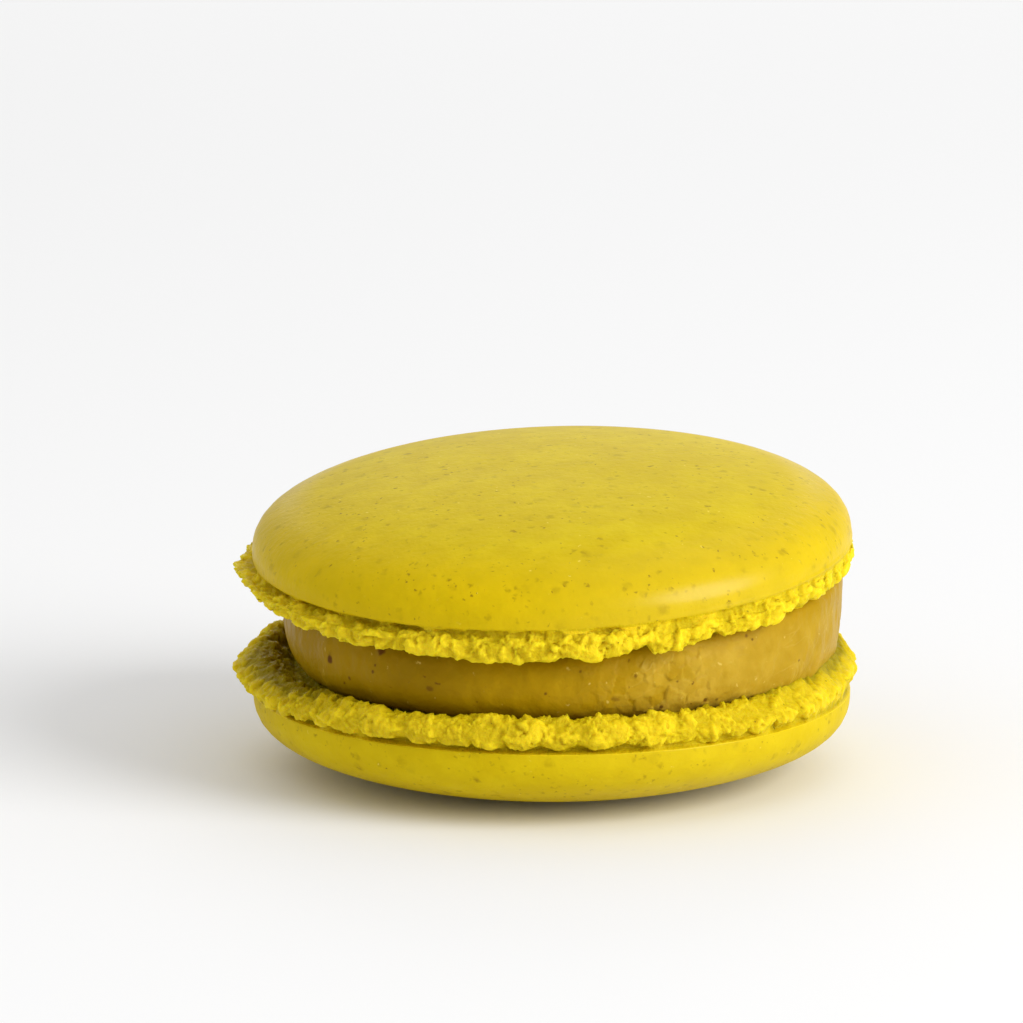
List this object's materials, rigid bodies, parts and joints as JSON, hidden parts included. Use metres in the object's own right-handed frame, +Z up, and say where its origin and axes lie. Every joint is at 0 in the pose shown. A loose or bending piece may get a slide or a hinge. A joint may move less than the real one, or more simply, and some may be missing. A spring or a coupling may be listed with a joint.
{
  "type": "macaron",
  "caption": "Filled macaron: domed yellow almond shells with ruffled feet around a thick layer of tan filling, the upper shell leaning slightly forward.",
  "frame": {"origin": "centre of the small flat spot under the lower shell, on the surface that the macaron rests on", "axes": "+Z up through the shells, +X to the right and -Y toward the front as the picture shows it"},
  "size_m": [0.0459, 0.0445, 0.0224],
  "materials": {
    "shell": "satin",
    "filling": "soft gloss"
  },
  "bodies": {
    "root": {"shell_top": "shell", "filling": "filling", "shell_bottom": "shell"}
  },
  "joints": []
}
